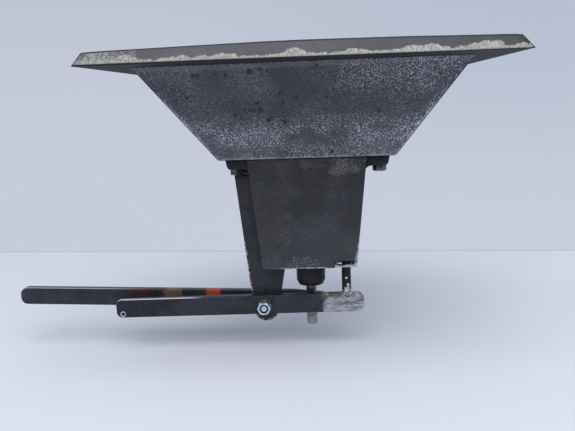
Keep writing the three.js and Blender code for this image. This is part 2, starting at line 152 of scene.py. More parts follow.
# %% Shaping a piece
def modify(piece, kind, **settings):
    """Adds a modifier with these settings and applies it."""
    only(piece)
    modifier = piece.modifiers.new(kind.lower(), kind)
    for key, value in settings.items():
        setattr(modifier, key, value)
    bpy.ops.object.modifier_apply(modifier=modifier.name)


def smooth(piece, angle=40):
    only(piece)
    bpy.ops.object.shade_smooth_by_angle(angle=radians(angle))


def soften(piece, width=0.5, segments=2, angle=32):
    """Rounds the sharp edges a little, as a file or a grinder leaves them."""
    modify(
        piece,
        "BEVEL",
        width=width * MM,
        segments=segments,
        limit_method="ANGLE",
        angle_limit=radians(angle),
        miter_outer="MITER_ARC",
    )
    smooth(piece)


def cut(piece, tool):
    modify(piece, "BOOLEAN", operation="DIFFERENCE", solver="EXACT", object=tool)
    bpy.data.objects.remove(tool)


def keep_common(piece, tool):
    modify(piece, "BOOLEAN", operation="INTERSECT", solver="EXACT", object=tool)
    bpy.data.objects.remove(tool)


def traced(node, name):
    """A copy of a CAD node with its loose triangles merged into clean faces."""
    piece = bpy.data.objects.new(name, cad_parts[node].data.copy())
    scene.collection.objects.link(piece)
    piece.data.materials.clear()
    edit(piece)
    bpy.ops.mesh.select_all(action="SELECT")
    bpy.ops.mesh.remove_doubles(threshold=0.02 * MM)
    bpy.ops.mesh.dissolve_limited(angle_limit=radians(0.6))
    bpy.ops.object.mode_set(mode="OBJECT")
    return piece


# %% Finishing a piece
def place(piece, body, slot, finish, *nodes):
    """Gives a piece its finish, its body and the CAD nodes that it stands for."""
    everything_off()
    piece.data.materials.clear()
    piece.data.materials.append(finish)
    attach(piece, body)
    if nodes:
        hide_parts(*nodes)
    triangles = sum(len(face.vertices) - 2 for face in piece.data.polygons)
    print(f"{piece.name}: {triangles} triangles, rides on {body}")
    return piece


# %% [markdown]
# ## Finishes
# Hot-rolled steel comes out of the mill with a dark blue-grey scale.  Where it has been handled it
# shows fine light specks, and small brown spots where rust has started.  A finish could be painted
# by hand, but noise needs no painting and has no seams.  Every pattern is read from Object
# coordinates, so that nothing slides when a lever moves.  Each helper adds one or two nodes.


# %% Nodes
def new_finish(name):
    finish = bpy.data.materials.new(name)
    finish.use_nodes = True
    return finish, finish.node_tree, finish.node_tree.nodes["Principled BSDF"]


def add(tree, kind, **values):
    """Adds a node, and sets its settings or its inputs by name."""
    node = tree.nodes.new("ShaderNode" + kind)
    for key, value in values.items():
        if hasattr(node, key):
            setattr(node, key, value)
        else:
            node.inputs[key.replace("_", " ").title()].default_value = value
    return node


def place_of(tree):
    return add(tree, "TexCoord").outputs["Object"]


def axes(tree, vector):
    node = add(tree, "SeparateXYZ")
    tree.links.new(vector, node.inputs["Vector"])
    return node.outputs


def facing(tree):
    """The direction in which the surface looks, as X, Y and Z."""
    return axes(tree, add(tree, "TexCoord").outputs["Normal"])


def noise(tree, vector, scale, detail=3.0, stretch=(1, 1, 1)):
    """A grey noise; scale is in features per metre."""
    mapping = add(tree, "Mapping", Scale=stretch)
    tree.links.new(vector, mapping.inputs["Vector"])
    texture = add(tree, "TexNoise", Scale=scale, Detail=detail)
    tree.links.new(mapping.outputs["Vector"], texture.inputs["Vector"])
    return texture.outputs["Fac"]


def bump(tree, shader, height, distance, strength):
    node = add(tree, "Bump", Distance=distance * MM, Strength=strength)
    tree.links.new(height, node.inputs["Height"])
    tree.links.new(node.outputs["Normal"], shader.inputs["Normal"])


# %% [markdown]
# A mask is a number from zero to one that says how much of something shows at a place.  Masks are
# plain sums on X, Y and Z, and they are laid over each other by multiplying them.


# %% Sums and masks
def maths(tree, operation, a, b=None):
    node = add(tree, "Math", operation=operation)
    for socket, value in zip(node.inputs, (a, b)):
        if value is None:
            continue
        if isinstance(value, (int, float)):
            socket.default_value = value
        else:
            tree.links.new(value, socket)
    return node.outputs["Value"]


def times(tree, a, b):
    return maths(tree, "MULTIPLY", a, b)


def plus(tree, a, b):
    return maths(tree, "ADD", a, b)


def minus(tree, a, b):
    return maths(tree, "SUBTRACT", a, b)


def most(tree, a, b):
    return maths(tree, "MAXIMUM", a, b)


def step(tree, value, low, high):
    """Zero below low, one above high, smooth between."""
    node = add(tree, "MapRange", interpolation_type="SMOOTHSTEP", from_min=low, from_max=high)
    tree.links.new(value, node.inputs["Value"])
    return node.outputs["Result"]


def ramp(tree, value, start, end, low=0.0, high=1.0):
    """A straight slope, low up to start and high past end."""
    node = add(tree, "MapRange", from_min=start, from_max=end, to_min=low, to_max=high)
    tree.links.new(value, node.inputs["Value"])
    return node.outputs["Result"]


def fades(tree, value, low, high, strength=1.0):
    """A step between two places in millimetres."""
    return times(tree, step(tree, value, low * MM, high * MM), strength)


def patches(tree, here, scale, low, high, detail=3, stretch=(1, 1, 1)):
    """A noise made into a mask of patches with soft edges."""
    return step(tree, noise(tree, here, scale, detail, stretch), low, high)


def waver(tree, here, scale, size, detail=3):
    """A small amount, up to half of size either way, that makes an edge ragged."""
    return times(tree, minus(tree, noise(tree, here, scale, detail), 0.5), size)


# %% Places
def flattened(tree, vector):
    """A place with its Y taken away, so that a mark goes straight through the sheet."""
    x, _, z = axes(tree, vector)
    node = add(tree, "CombineXYZ")
    tree.links.new(x, node.inputs["X"])
    tree.links.new(z, node.inputs["Z"])
    return node.outputs["Vector"]


def distance(tree, vector, point):
    """How far a place is from a point in millimetres."""
    node = add(tree, "VectorMath", operation="DISTANCE")
    node.inputs[1].default_value = Vector(point) * MM
    tree.links.new(vector, node.inputs[0])
    return node.outputs["Value"]


def edge_x(tree, z, at_zero, slope):
    """The X of a straight sloping edge at this height; at_zero is its X where Z is zero."""
    return plus(tree, at_zero * MM, times(tree, z, slope))


def on_front(tree):
    """One on faces that look to the front, zero on all others."""
    return step(tree, facing(tree)[1], -0.4, -0.7)


def around(tree, here, centre, reach, ragged=1.0):
    """A soft blob round a point in X and Z: (x, z) and its half sizes, in millimetres."""
    x, _, z = axes(tree, here)
    u = maths(tree, "DIVIDE", minus(tree, x, centre[0] * MM), reach[0] * MM)
    v = maths(tree, "DIVIDE", minus(tree, z, centre[1] * MM), reach[1] * MM)
    far = plus(tree, times(tree, u, u), times(tree, v, v))
    return step(tree, plus(tree, far, waver(tree, here, 160, ragged * 3)), 1.25, 0.35)


# %% Colours
def grey(r, g, b):
    """A display colour from 0 to 255, made linear."""
    linear = [(c / 255 / 12.92) if c < 11 else ((c / 255 + 0.055) / 1.055) ** 2.4 for c in (r, g, b)]
    return (*linear, 1.0)


def mix(tree, factor, a, b):
    """Mixes two colours, each a tuple or a socket.

    The node keeps sockets for each kind of data: 6 and 7 are its colours, output 2 their mix."""
    node = add(tree, "Mix", data_type="RGBA")
    for socket, value in ((node.inputs[6], a), (node.inputs[7], b)):
        if isinstance(value, tuple):
            socket.default_value = value
        else:
            tree.links.new(value, socket)
    tree.links.new(factor, node.inputs[0])
    return node.outputs[2]


def recolour(finish, *paints):
    """Lays each paint(tree, place, skin) in turn over the colour of a finish."""
    tree = finish.node_tree
    socket = tree.nodes["Principled BSDF"].inputs["Base Color"]
    here = place_of(tree)
    skin = socket.links[0].from_socket
    for paint in paints:
        skin = paint(tree, here, skin)
    tree.links.new(skin, socket)
    return finish


# %% [markdown]
# ### Mill scale
# One recipe gives all the dark finishes: two tones under a slow noise, then a paler layer, which is
# rubbed metal on some finishes and a painted highlight or painted light on others, then fine specks
# in patches, then rust.  Faces that look down are darker, as they never get the light.  A finish
# that needs its marks at known places hands in its own mask functions.


# %% Tones, specks and rust
def skin_tones(tree, here, middling, dark, light):
    """Two dark tones under a slow noise, with a finer mottle over them."""
    slow = noise(tree, here, 14, 3)
    tone = step(tree, plus(tree, slow, times(tree, middling, 0.6)), 0.62, 0.98)
    colour = mix(tree, tone, grey(*dark), grey(*light))
    mottle = patches(tree, here, 420, 0.4, 0.6)
    return mix(tree, times(tree, mottle, 0.35), colour, grey(*[c * 0.8 for c in dark]))


def light_specks(tree, here, fine, scatter, crowded):
    """Fine specks, a few of them anywhere and many where the crowded mask is one."""
    patch = times(tree, patches(tree, here, 26, 0.15, 0.8), scatter)
    if crowded is not None:
        patch = most(tree, patch, crowded(tree, here))
    grit = noise(tree, here, 1900, 1)
    dots = step(tree, plus(tree, fine, times(tree, grit, 0.3)), 0.705, 0.745)
    return times(tree, dots, patch)


def scattered_rust(tree, here):
    """Small rust spots in some regions and none in others."""
    region = patches(tree, here, 17, 0.5, 0.64, detail=1)
    return times(tree, patches(tree, here, 170, 0.58, 0.64), region)


# %% Mill scale
def mill_scale(
    name,
    dark,
    light,
    speck=(150, 155, 168),
    speck_cover=0.5,
    rust_cover=0.3,
    rough=(0.42, 0.62),
    scatter=0.3,
    pale=None,
    crowded=None,
    rusty=scattered_rust,
    paler=None,
):
    """Dark hot-rolled skin.

    crowded, rusty and paler are functions of (tree, place).  Each returns a mask: where the
    specks crowd, where the rust spots are, and where the skin turns to the pale colour, as rubbed
    metal or as a painted highlight or painted light."""
    finish, tree, shader = new_finish(name)
    here = place_of(tree)
    middling = noise(tree, here, 70, 4)
    fine = noise(tree, here, 900, 2)
    colour = skin_tones(tree, here, middling, dark, light)
    if paler is not None:
        colour = mix(tree, paler(tree, here), colour, grey(*pale))
    specks = times(tree, light_specks(tree, here, fine, scatter, crowded), speck_cover)
    colour = mix(tree, specks, colour, grey(*speck))
    rust = times(tree, rusty(tree, here), rust_cover)
    rust_tone = mix(tree, step(tree, fine, 0.35, 0.65), grey(26, 23, 24), grey(52, 42, 38))
    colour = mix(tree, rust, colour, rust_tone)
    below = times(tree, step(tree, facing(tree)[2], -0.8, -0.95), 0.9)
    colour = mix(tree, below, colour, grey(22, 22, 28))
    tree.links.new(colour, shader.inputs["Base Color"])

    shader.inputs["Metallic"].default_value = 0.4
    dull = plus(tree, ramp(tree, middling, 0, 1, *rough), times(tree, below, 0.25))
    tree.links.new(dull, shader.inputs["Roughness"])
    bump(tree, shader, plus(tree, fine, times(tree, specks, 0.6)), 0.25, 0.35)
    return finish


# %% Tints
def tinted(finish, spots):
    """Lays soft tints over a finish: (centre, half sizes, colour, strength) in order."""

    def tint_all(tree, here, skin):
        for centre, reach, tint, strength in spots:
            mask = times(tree, around(tree, here, centre, reach), strength)
            skin = mix(tree, mask, skin, grey(*tint))
        return skin

    return recolour(finish, tint_all)


# %% [markdown]
# ### Marks on the pan
# The front of the pan has specks in crowds, a couple of dozen rust spots and a painted highlight along
# its edges.
# The spots could be left to a noise, but then nobody could say where they fall, so each has a
# place and a radius, and only its ragged edge is noise.


# %% Specks and slants of the pan
PAN_X, PAN_Y, PAN_DEPTH = 146.5, 99.5, 88  # half length, half width and depth of the pan
PAN_SLANT = 0.69  # how far the slanted edges come in for each millimetre down


def from_slant(tree, x, z, near=14.0, edge=2.0):
    """One at the slanted edges of the pan's front, falling to zero a little way in."""
    inside = minus(tree, edge_x(tree, z, PAN_X, PAN_SLANT), maths(tree, "ABSOLUTE", x))
    return fades(tree, inside, near, edge)


def pan_crowded(tree, here):
    """Specks crowd to the upper right, down both slanted edges and along the lower edge."""
    x, _, z = axes(tree, here)
    lower = fades(tree, z, -36, -66)
    right = times(tree, fades(tree, x, 0, 60, 0.62), fades(tree, z, -42, -18))
    left = times(tree, from_slant(tree, x, z), fades(tree, z, -14, -34, 0.9))
    crowd = most(tree, most(tree, lower, right), left)
    broken = patches(tree, here, 34, 0.26, 0.58)
    return times(tree, times(tree, crowd, broken), on_front(tree))


def pan_paler(tree, here):
    """Painted highlight: a thin pale line down the slanted edges and along the lower edge; the face
    is also a little paler at its top and towards its foot.
    """
    x, _, z = axes(tree, here)
    slants = times(tree, from_slant(tree, x, z, 3.4, 2.4), fades(tree, z, -24, -50))
    line = most(tree, slants, fades(tree, z, -85.2, -86.6))
    broken = plus(tree, patches(tree, here, 120, 0.36, 0.56), 0.2)
    line = times(tree, times(tree, line, broken), 0.55)
    soft = most(tree, fades(tree, z, -5.0, -3.4, 0.1), fades(tree, z, -35, -85, 0.1))
    return times(tree, most(tree, line, soft), on_front(tree))


# %% Rust spots of the pan
RUST_SPOTS = [
    (-94, -9, 1.5), (-90, -9, 1.2), (-74, -8, 0.8), (-66, -9, 1.0), (-45, -7, 1.8), (-36, -5, 1.4),
    (-29, -6, 0.9), (13, -4, 0.7), (-49, -22, 0.9), (-103, -27, 1.1), (-62, -34, 0.8),
    (-41, -34, 1.6), (-39, -40, 1.7), (-48, -40, 1.2), (-53, -39, 1.0), (-62, -44, 1.3),
    (-32, -49, 2.0), (-57, -52, 0.8), (-18, -52, 1.6), (-6, -30, 1.2), (-20, -26, 0.8),
    (21, -31, 0.9), (68, -44, 1.6), (25, -82, 1.8), (-45, -41, 0.9), (-18, -34, 0.9),
]  # fmt: skip


def pan_rusty(tree, here):
    """Rust spots at known places, each with a ragged edge, and a dark line down both slants."""
    x, _, z = axes(tree, here)
    flat = flattened(tree, here)
    nearest = None
    for spot_x, spot_z, radius in RUST_SPOTS:
        inside = minus(tree, distance(tree, flat, (spot_x, 0, spot_z)), radius * MM)
        nearest = inside if nearest is None else maths(tree, "MINIMUM", nearest, inside)
    spots = fades(tree, plus(tree, nearest, waver(tree, here, 420, 6 * MM)), 1.1, -0.5)
    edge_line = times(tree, from_slant(tree, x, z, 1.5, 0.9), 0.8)
    return times(tree, most(tree, spots, edge_line), on_front(tree))


print(len(RUST_SPOTS), "rust spots on the pan")

# %% [markdown]
# ### Marks on the feed box and the bracket
# The box is scuffed under the pan and at its foot, its lower right edge was ground to a bright strip,
# and painted light from the floor makes its face a little paler towards the foot.  The bracket has
# small painted highlights, like bright teeth, where the flame left its edge rough.


# %% Scuffs of the box
def box_crowded(tree, here):
    """The feed box is scuffed near its lower edge and just under the pan."""
    under_pan = around(tree, here, (36, -98), (20, 10), 1.1)
    foot = around(tree, here, (-6, -192), (18, 7), 0.8)
    left = times(tree, around(tree, here, (-24, -156), (15, 18), 0.8), 0.45)
    marks = most(tree, most(tree, under_pan, foot), left)
    return times(tree, marks, patches(tree, here, 60, 0.3, 0.55))


def box_paler(tree, here):
    """A bright strip on the right edge, widest at the foot, and a line along the foot; over the whole
    face, painted light from the floor makes it a little paler towards the foot.
    """
    x, y, z = axes(tree, here)
    ragged = plus(tree, patches(tree, here, 200, 0.35, 0.6), 0.3)
    from_edge = minus(tree, x, edge_x(tree, z, at_zero=67.6, slope=0.1055))
    wide = times(tree, fades(tree, z, -158, -196), -2.6 * MM)
    strip = fades(tree, minus(tree, from_edge, wide), -0.6, 0.4)
    strip = times(tree, strip, fades(tree, z, -158, -170, 0.85))
    strip = times(tree, strip, ragged)
    foot = times(tree, fades(tree, z, -196.2, -197.2, 0.8), fades(tree, x, 24, 12))
    foot = times(tree, foot, fades(tree, x, -42, -20))
    strip = most(tree, strip, times(tree, foot, ragged))
    strip = times(tree, strip, fades(tree, y, -23, -26))
    # Painted light from the floor: the face turns faintly paler towards the foot.
    return most(tree, strip, fades(tree, z, -112, -190, 0.05))


# %% Painted highlights on the flame-cut edge of the bracket
def cut_edge_highlights(tree, here):
    """Painted highlights: small bright teeth along the rough left edge of the bracket and round its
    lower end.
    """
    x, _, z = axes(tree, here)
    from_edge = minus(tree, x, edge_x(tree, z, at_zero=-85.1, slope=-0.1))
    teeth = times(tree, fades(tree, from_edge, 2.0, 1.0), fades(tree, z, -160, -185))
    away = distance(tree, here, (-47.5, -3, -246.5))
    rounded = times(tree, fades(tree, away, 10.6, 11.8, 0.8), fades(tree, z, -246, -249))
    broken = patches(tree, here, 420, 0.52, 0.58, detail=1)
    return times(tree, most(tree, teeth, rounded), broken)


# %% Steel of the pan
pan_steel = mill_scale(
    "pan_steel",
    (60, 61, 70),
    (75, 76, 86),
    speck=(224, 226, 234),
    speck_cover=0.9,
    scatter=0.26,
    rust_cover=0.95,
    pale=(176, 178, 184),
    crowded=pan_crowded,
    rusty=pan_rusty,
    paler=pan_paler,
)
print("pan steel has", len(pan_steel.node_tree.nodes), "nodes")

# %% Steel of the box and the bracket
box_steel = tinted(
    mill_scale(
        "box_steel",
        (38, 38, 44),
        (54, 55, 61),
        speck=(150, 152, 158),
        speck_cover=0.7,
        pale=(168, 170, 178),
        rust_cover=0.5,
        crowded=box_crowded,
        paler=box_paler,
    ),
    [
        ((-24, -96), (6, 6), (74, 68, 60), 0.4),
        ((-1, -94), (7, 5), (84, 76, 62), 0.5),
        ((10, -95), (6, 5), (70, 64, 56), 0.4),
        ((37, -98), (15, 7), (120, 120, 122), 0.22),
        ((40, -150), (10, 7), (44, 39, 40), 0.5),
        ((-36, -150), (14, 40), (50, 46, 46), 0.3),
        ((34, -186), (9, 5), (58, 54, 50), 0.5),
    ],
)
side_steel = mill_scale(
    "side_steel", (46, 47, 53), (54, 56, 63), scatter=0.2, pale=(190, 192, 198), paler=box_paler
)
flange_steel = mill_scale("flange_steel", (34, 34, 39), (52, 51, 55), speck_cover=0.3, rust_cover=0.6)
bracket_steel = tinted(
    mill_scale(
        "bracket_steel",
        (40, 41, 48),
        (54, 54, 62),
        speck=(190, 190, 194),
        speck_cover=0.15,
        rust_cover=0.5,
        pale=(176, 170, 166),
        paler=cut_edge_highlights,
    ),
    # Painted shade: the top of the bracket under the ear is darkened.
    [((-64, -104), (14, 6), (16, 16, 19), 0.9)],
)
boss_steel = mill_scale("boss_steel", (18, 18, 21), (28, 28, 32), speck_cover=0.1)
print("box steel has", len(box_steel.node_tree.nodes), "nodes")

# %% [markdown]
# ### The lip
# The turned-up lip was scraped bare along its lower edge.  The scraped strip is ragged, with humps
# where the tool ran high.  A float curve over X gives the height of the strip, and noise breaks its
# edge.  Painting the strip on a texture would also work, but a curve can be read and moved.

# %% Scraped strip of the lip
SCRAPED_HALF, SCRAPED_TOP = 180, 9
SCRAPED = [
    (-180, 3.9), (-165, 4.4), (-150, 4.8), (-143, 6.4), (-138, 7.8), (-131, 6.6), (-124, 3.6),
    (-108, 3.2), (-101, 4.6), (-94, 5.4), (-88, 5.0), (-84, 3.3), (-79, 5.0), (-73, 5.0),
    (-70, 3.6), (-65, 5.2), (-57, 5.8), (-50, 4.8), (-45, 3.4), (-16, 3.7), (-4, 7.6), (8, 3.8),
    (34, 3.3), (40, 5.5), (50, 5.5), (56, 3.5), (72, 3.6), (80, 4.2), (87, 5.8), (98, 6.4),
    (108, 5.8), (114, 4.0), (120, 3.4), (129, 4.0), (138, 7.0), (151, 7.2), (158, 4.8),
    (162, 3.4), (170, 4.8), (180, 3.6),
]  # fmt: skip


def scraped_height(tree, x):
    """The height of the strip at this X, in metres, from the (x, height) pairs above."""
    node = add(tree, "FloatCurve")
    curve = node.mapping.curves[0]
    first, *between, last = SCRAPED
    curve.points[0].location = (0, first[1] / SCRAPED_TOP)
    curve.points[1].location = (1, last[1] / SCRAPED_TOP)
    for at, height in between:
        curve.points.new((at + SCRAPED_HALF) / (2 * SCRAPED_HALF), height / SCRAPED_TOP)
    node.mapping.update()
    across = ramp(tree, x, -SCRAPED_HALF * MM, SCRAPED_HALF * MM)
    tree.links.new(across, node.inputs["Value"])
    return times(tree, node.outputs["Value"], SCRAPED_TOP * MM)


def scraped_strip(tree, here, skin):
    """Bare, streaky steel below the curve, on the outer face of the lip only."""
    x, y, z = axes(tree, here)
    ragged = plus(tree, waver(tree, here, 210, 5 * MM), waver(tree, here, 900, 3 * MM, detail=2))
    strip_top = plus(tree, scraped_height(tree, x), ragged)
    on_strip = fades(tree, minus(tree, strip_top, z), -0.2, 0.4)
    on_strip = times(tree, on_strip, fades(tree, y, -142.5, -143.2))
    streaks = patches(tree, here, 90, 0.38, 0.62, stretch=(14, 14, 1))
    bare = mix(tree, streaks, grey(114, 113, 109), grey(158, 155, 148))
    return mix(tree, on_strip, skin, bare)


# %% [markdown]
# The lip is darker to the right.  Its left end was scuffed pale in a web of scratches, which is a
# noise seen only where it leaves its middle value.  Its top edge, its two ends and the fold at its
# foot are painted dark as thin lines of shade, and these give the lip its clear outline.


# %% Shades and edges of the lip
def scuffed_end(tree, here, skin):
    """Darker to the right, with pale scuffs at the left end."""
    x = axes(tree, here)[0]
    ridge = maths(tree, "ABSOLUTE", minus(tree, noise(tree, here, 190, 3), 0.5))
    scuffs = times(tree, step(tree, ridge, 0.012, 0.05), fades(tree, x, -128.5, -129.7))
    thin = times(tree, patches(tree, here, 700, 0.36, 0.6, detail=2), 0.5)
    thin = plus(tree, thin, fades(tree, x, -143, -152, 0.4))
    scuffs = times(tree, times(tree, scuffs, thin), on_front(tree))
    skin = mix(tree, fades(tree, x, -110, 165, 0.75), skin, grey(48, 49, 56))
    return mix(tree, scuffs, skin, grey(146, 145, 142))


def dark_outline(tree, here, skin):
    """Painted shade: dark lines along the bowed top edge and down the two sloping ends."""
    x, _, z = axes(tree, here)
    bow = times(tree, times(tree, x, x), -0.09)
    top_line = fades(tree, minus(tree, z, plus(tree, bow, 14 * MM)), -1.7, -0.9)
    end = edge_x(tree, z, at_zero=182.1, slope=-0.74)
    from_end = minus(tree, end, maths(tree, "ABSOLUTE", x))
    end_line = fades(tree, from_end, 1.6, 0.8)
    return mix(tree, most(tree, top_line, end_line), skin, grey(26, 32, 35))


def dark_fold(tree, here, skin):
    """Painted shade in the rounded fold under the lip, a little taller at the left."""
    x, _, z = axes(tree, here)
    fold = ramp(tree, x, -60 * MM, 120 * MM, 1.5 * MM, 0.8 * MM)
    return mix(tree, fades(tree, minus(tree, z, fold), 0.3, -0.3), skin, grey(30, 31, 38))


lip_steel = mill_scale(
    "lip_steel", (70, 70, 77), (82, 82, 89), speck=(150, 150, 154), speck_cover=0.25
)
recolour(lip_steel, scuffed_end, scraped_strip, dark_outline, dark_fold)
print("lip finish has", len(lip_steel.node_tree.nodes), "nodes")

# %% [markdown]
# ### The levers
# The levers are dark flat bar.  Heat from welding and flame cutting left brown and red tints on the
# long bar, and the short bar's right end was ground bright where the rod is welded on.  Both have a
# painted highlight, a pale line on the top front edge.


# %% Lever steel
def lever_steel(name, dark, light):
    return mill_scale(name, dark, light, speck_cover=0.3, rust_cover=0.5, rough=(0.28, 0.5))


def ground_end(tree, here, skin):
    """The bright right end of the short lever, with one long scratch across it."""
    x, _, z = axes(tree, here)
    bright_end = fades(tree, plus(tree, x, waver(tree, here, 120, 18 * MM)), 9, 17)
    swirl = patches(tree, here, 75, 0.3, 0.7, detail=4, stretch=(1.6, 1, 4))
    bare = mix(tree, swirl, grey(84, 84, 90), grey(170, 171, 178))
    slope = times(tree, minus(tree, x, 34.5 * MM), 0.85)
    from_scratch = maths(tree, "ABSOLUTE", plus(tree, plus(tree, z, slope), 232 * MM))
    bare = mix(tree, fades(tree, from_scratch, 0.9, 0.2, 0.5), bare, grey(206, 208, 214))
    return mix(tree, bright_end, skin, bare)


def sheen(finish, right, fade, height, front, colour, strength):
    """A painted highlight: a pale line on the top front edge, from the left end as far as right."""

    def edge_line(tree, here, skin):
        x, y, z = axes(tree, here)
        mask = times(tree, step(tree, facing(tree)[2], 0.2, 0.5), fades(tree, y, front + 4, front + 2))
        mask = times(tree, mask, fades(tree, x, right, right - fade, strength))
        mask = times(tree, mask, fades(tree, z, height - 1, height))
        return mix(tree, mask, skin, grey(*colour))

    return recolour(finish, edge_line)


# %% Long lever
long_steel = tinted(
    lever_steel("long_lever_steel", (30, 32, 41), (52, 54, 64)),
    [
        ((-183, -229), (15, 5.5), (88, 26, 24), 0.6),
        ((-148, -230), (11, 7), (126, 98, 74), 0.8),
        ((-104, -231), (9, 7), (190, 82, 34), 0.95),
        ((-93, -231), (4, 6), (54, 38, 46), 0.6),
        ((-73, -232), (8, 6), (30, 48, 44), 0.5),
    ],
)
sheen(long_steel, right=-165, fade=60, height=-234, front=6, colour=(186, 190, 202), strength=0.75)
print("long lever finish has", len(long_steel.node_tree.nodes), "nodes")

# %% Short lever
short_steel = tinted(
    lever_steel("short_lever_steel", (24, 27, 36), (46, 48, 58)),
    [((-24, -244), (26, 5), (36, 46, 52), 0.5), ((-110, -236), (30, 5), (52, 46, 60), 0.4)],
)
recolour(short_steel, ground_end)
tinted(
    short_steel,
    [
        ((25, -228.8), (8, 2.6), (88, 50, 26), 0.85),
        ((43, -229), (3.2, 1.8), (112, 76, 54), 0.6),
        ((31, -237), (9, 5), (118, 104, 94), 0.35),
    ],
)
sheen(short_steel, right=-108, fade=22, height=-240, front=-16, colour=(204, 208, 218), strength=0.95)
print("short lever finish has", len(short_steel.node_tree.nodes), "nodes")

# %% [markdown]
# ### Bright finishes
# Bare steel keeps fine scratches from the disc, so its tone and its roughness both follow a
# stretched noise.  Zinc plate is bluish and a little cloudy.  Weld metal is darker.


# %% Bright metal
def bright_metal(name, dark, light, rough, scale, stretch=(1, 1, 1), metallic=0.9):
    finish, tree, shader = new_finish(name)
    here = place_of(tree)
    cloud = noise(tree, here, scale, 4, stretch)
    fine = noise(tree, here, scale * 9, 2, stretch)
    both = plus(tree, times(tree, cloud, 0.6), times(tree, fine, 0.4))
    colour = mix(tree, step(tree, both, 0.36, 0.64), grey(*dark), grey(*light))
    tree.links.new(colour, shader.inputs["Base Color"])
    shader.inputs["Metallic"].default_value = metallic
    tree.links.new(ramp(tree, both, 0, 1, *rough), shader.inputs["Roughness"])
    bump(tree, shader, fine, 0.1, 0.3)
    return finish


def dark_mouth(tree, here, skin):
    """The shade inside the open thread of the lock nut."""
    from_axis = distance(tree, flattened(tree, here), PIVOT)
    return mix(tree, fades(tree, from_axis, 4.75, 4.45, 0.92), skin, grey(22, 30, 34))


# %% Steel, zinc and weld metal
ground_steel = bright_metal("ground_steel", (120, 122, 128), (178, 180, 186), (0.25, 0.5), 90, (1, 1, 4))
stem_steel = bright_metal("stem_steel", (92, 88, 82), (150, 146, 138), (0.3, 0.5), 60, (1, 1, 5))
stem_steel = tinted(stem_steel, [((0, -262), (12, 9), (150, 153, 162), 0.85)])
floor_steel = bright_metal("floor_steel", (150, 152, 158), (206, 207, 212), (0.3, 0.5), 120)
# Rust brown and painted shade: the floor plate is darkened round the rod's hole, seen through the notch,
# where the inside of the box is dark.
floor_steel = tinted(floor_steel, [((31, -193), (8, 4.2), (50, 43, 34), 0.95)])
rod_steel = bright_metal("rod_steel", (8, 7, 8), (32, 26, 26), (0.4, 0.65), 240, (1, 1, 0.6), 0.4)
weld_metal = bright_metal("weld_metal", (66, 68, 78), (126, 129, 140), (0.3, 0.55), 380)
blob_metal = bright_metal("blob_metal", (84, 92, 102), (196, 200, 206), (0.2, 0.4), 300, metallic=0.7)
dark_zinc = bright_metal("dark_zinc", (36, 38, 40), (92, 92, 86), (0.25, 0.4), 420, metallic=0.7)
# Painted shade: a darker zinc for the ear bolt heads, which sit in the shade of the pan.
shaded_zinc = bright_metal("shaded_zinc", (56, 66, 70), (112, 126, 127), (0.25, 0.4), 260, metallic=0.7)
# A zinc a step darker than zinc_plate, for the pivot nut.
mid_zinc = bright_metal("mid_zinc", (84, 96, 102), (176, 190, 198), (0.2, 0.34), 240, metallic=0.85)
zinc = bright_metal("zinc_plate", (150, 164, 178), (206, 218, 230), (0.18, 0.34), 260)
lock_zinc = bright_metal("lock_zinc", (176, 190, 204), (222, 232, 244), (0.18, 0.34), 260)
recolour(lock_zinc, dark_mouth)
print(len(bpy.data.materials), "finishes made")

# %% [markdown]
# ## The rim
# The rim is one frame of sheet with its outer edge turned up and leaning in.  It is folded from four
# strips that meet in mitres.  Each strip starts as a cube: its inner edge is pulled in for the
# mitre, a narrow strip of its top is extruded up for the lip, and slices across it let the lip bow
# up in the middle and run down at the corners, where it was hammered over.

# %% Slicing, moving and turning
RIM_X, RIM_Y, RIM_LONG_DEPTH = 180.5, 147.5, 48  # half length, half width, front strip's depth
RIM_DEPTH, SHEET, LIP = 34, 3, 13  # side strip's depth, the sheet, the lip's height
LEAN = 5 / 13  # how far the lip leans in for each millimetre of height
HEM = 1.6  # how far the lower corners stand out


def slice_all(point, normal):
    """Cuts new edges through the whole mesh where a plane crosses it."""
    bpy.ops.mesh.select_all(action="SELECT")
    bpy.ops.mesh.bisect(plane_co=Vector(point) * MM, plane_no=normal)


def nudge(x=0, y=0, z=0):
    bpy.ops.transform.translate(value=(x * MM, y * MM, z * MM))


def height_at(profile, at):
    """The height of a profile of (place, height) pairs at one place."""
    for (a, low), (b, high) in zip(profile, profile[1:]):
        if a <= at <= b:
            return low + (high - low) * (at - a) / (b - a)
    return profile[0][1]


def turn_to_side(turn):
    """Turns the whole mesh about Z.  With no window this operator turns the other way."""
    bpy.ops.mesh.select_all(action="SELECT")
    bpy.ops.transform.rotate(value=-radians(turn), orient_axis="Z", center_override=(0, 0, 0))
    bpy.ops.object.mode_set(mode="OBJECT")


# %% Lip
def raise_lip(out):
    """Extrudes the top of the outer edge into a lip that leans in, mitred at both ends."""
    slice_all((0, -out + SHEET, 0), (0, 1, 0))
    for side in (-1, 1):
        pick("VERT", lambda p, n: p.y < -out + SHEET + 0.1 and p.z > 1 and p.x * side > 0)
        nudge(x=-side * SHEET * LEAN, y=SHEET * LEAN)
    pick("FACE", lambda p, n: p.y < -out + SHEET and n.z > 0.9)
    rise = LIP - SHEET
    bpy.ops.mesh.extrude_region_move(
        TRANSFORM_OT_translate={"value": (0, rise * LEAN * MM, rise * MM)}
    )
    for side in (-1, 1):
        pick("VERT", lambda p, n: p.z > LIP - 1 and p.x * side > 0)
        nudge(x=-side * rise * LEAN)


